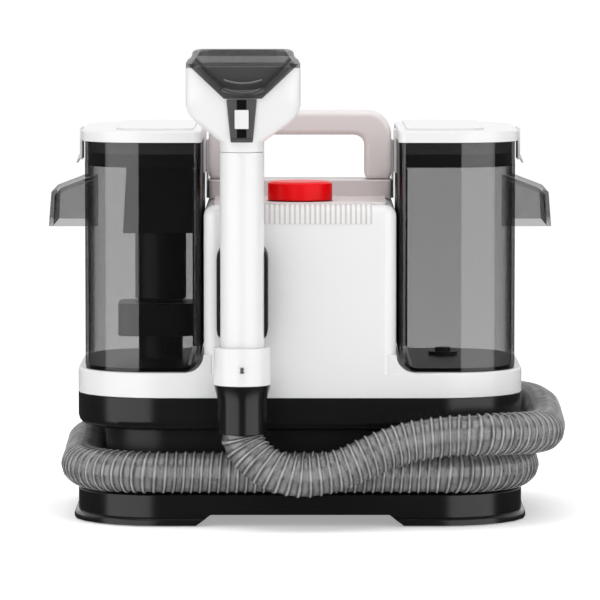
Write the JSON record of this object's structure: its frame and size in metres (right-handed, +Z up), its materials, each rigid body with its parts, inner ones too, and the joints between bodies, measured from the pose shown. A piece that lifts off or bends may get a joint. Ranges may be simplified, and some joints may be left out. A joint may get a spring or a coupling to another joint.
{
  "type": "carpet cleaner machine",
  "caption": "Portable spot carpet cleaner: two lift-out clear tanks beside a central tower, a carry handle, a power button, and a hose wrapped round the base to a clipped hand tool.",
  "frame": {"origin": "middle of the bounding box on the floor, without the hose: midway between the hand tool's front and the hose port's rear, under the tower's middle in X", "axes": "+Z up, -Y towards the front where the hand tool stands, +X to the right as seen from the front; X is the longest side"},
  "size_m": [0.4182, 0.3303, 0.383],
  "materials": {
    "white_plastic": "satin gloss",
    "black_plastic": "satin",
    "grey_plastic": "satin",
    "red_plastic": "gloss",
    "smoke_clear": "clear smoke-tinted plastic",
    "rubber": "matte",
    "steel": "brushed",
    "hose_vinyl": "translucent ribbed vinyl",
    "board_green": "matte",
    "fan_plastic": "matte"
  },
  "bodies": {
    "machine": {"base_tray": "black_plastic", "rubber_foot_1": "rubber", "rubber_foot_2": "rubber", "rubber_foot_3": "rubber", "rubber_foot_4": "rubber", "channel_core": "black_plastic", "chassis_tray": "black_plastic", "main_housing": "white_plastic", "rear_cover": "white_plastic", "rear_screw_1": "steel", "rear_screw_2": "steel", "vent_grille": "white_plastic", "top_deck": "grey_plastic", "carry_handle": "white_plastic", "button_spring": "steel", "switch_bracket": "black_plastic", "power_switch": "black_plastic", "tool_cradle": "black_plastic", "suction_motor": "steel", "fan_housing": "black_plastic", "motor_mount": "black_plastic", "water_pump": "black_plastic", "control_board": "board_green", "suction_duct": "black_plastic", "water_line": "rubber", "hose_port": "black_plastic", "cord_gland": "black_plastic", "tank_latch_right": "steel", "tank_latch_left": "steel", "suction_hose": "hose_vinyl", "hose_cuff": "rubber"},
    "power_button": {"power_button": "red_plastic"},
    "fan_impeller": {"fan_impeller": "fan_plastic"},
    "hand_tool": {"tool_tube": "white_plastic", "tool_sleeve": "white_plastic", "sleeve_screw": "steel", "hose_collar": "black_plastic"},
    "spray_trigger": {"spray_trigger": "black_plastic"},
    "tool_head": {"head_shell": "white_plastic", "nozzle_window": "smoke_clear", "slider_track": "black_plastic"},
    "release_slider": {"release_slider": "white_plastic"},
    "clean_tank": {"clean_tank": "smoke_clear", "clean_tank_grip": "smoke_clear", "clean_tank_panel": "black_plastic", "clean_valve_body": "black_plastic"},
    "clean_valve_poppet": {"clean_valve_poppet": "rubber"},
    "clean_lid": {"clean_lid": "white_plastic", "clean_lid_seal": "black_plastic"},
    "clean_lid_clip": {"clean_lid_clip": "white_plastic"},
    "dirty_tank": {"dirty_tank": "smoke_clear", "dirty_tank_grip": "smoke_clear", "dirty_tank_panel": "black_plastic", "separator_housing": "black_plastic", "suction_column": "black_plastic"},
    "float_cup": {"float_cup": "black_plastic"},
    "dirty_lid": {"dirty_lid": "white_plastic", "dirty_lid_seal": "black_plastic"},
    "dirty_lid_clip": {"dirty_lid_clip": "white_plastic"}
  },
  "joints": [
    {"name": "power_button_press", "type": "slide", "parent": "machine", "child": "power_button", "axis": [0, 0, -1], "range_m": [0, 0.003], "stiffness_N_per_m": 600, "springref_m": -0.003, "deforming": ["button_spring"]},
    {"name": "fan_spin", "type": "hinge", "parent": "machine", "child": "fan_impeller", "pos_m": [0, 0.0392, 0.222], "axis": [0, 0, 1], "continuous": true},
    {"name": "tool_pull", "type": "slide", "parent": "machine", "child": "hand_tool", "axis": [0, -1, 0], "range_m": [0, 0.05]},
    {"name": "trigger_squeeze", "type": "hinge", "parent": "hand_tool", "child": "spray_trigger", "pos_m": [-0.0459, -0.1043, 0.296], "axis": [-1, 0, 0], "range_deg": [0, 6], "stiffness_Nm_per_rad": 0.3, "springref_deg": -5.73},
    {"name": "head_lift", "type": "slide", "parent": "hand_tool", "child": "tool_head", "axis": [0, 0, 1], "range_m": [0, 0.03]},
    {"name": "release_slide", "type": "slide", "parent": "tool_head", "child": "release_slider", "axis": [0, 0.2302, -0.9731], "range_m": [0, 0.008], "stiffness_N_per_m": 60, "springref_m": -0.003},
    {"name": "clean_tank_lift", "type": "slide", "parent": "machine", "child": "clean_tank", "axis": [0, 0, 1], "range_m": [0, 0.21]},
    {"name": "clean_valve_open", "type": "slide", "parent": "clean_tank", "child": "clean_valve_poppet", "axis": [0, 0, 1], "range_m": [0, 0.003], "stiffness_N_per_m": 200, "springref_m": -0.002},
    {"name": "clean_lid_lift", "type": "slide", "parent": "clean_tank", "child": "clean_lid", "axis": [0, 0, 1], "range_m": [0, 0.035]},
    {"name": "clean_clip_swing", "type": "hinge", "parent": "clean_lid", "child": "clean_lid_clip", "pos_m": [0.1783, 0.0062, 0.315], "axis": [0, -1, 0], "range_deg": [0, 50]},
    {"name": "dirty_tank_lift", "type": "slide", "parent": "machine", "child": "dirty_tank", "axis": [0, 0, 1], "range_m": [0, 0.21]},
    {"name": "float_rise", "type": "slide", "parent": "dirty_tank", "child": "float_cup", "axis": [0, 0, 1], "range_m": [0, 0.035]},
    {"name": "dirty_lid_lift", "type": "slide", "parent": "dirty_tank", "child": "dirty_lid", "axis": [0, 0, 1], "range_m": [0, 0.035]},
    {"name": "dirty_clip_swing", "type": "hinge", "parent": "dirty_lid", "child": "dirty_lid_clip", "pos_m": [-0.1783, 0.0062, 0.315], "axis": [0, 1, 0], "range_deg": [0, 50]}
  ]
}
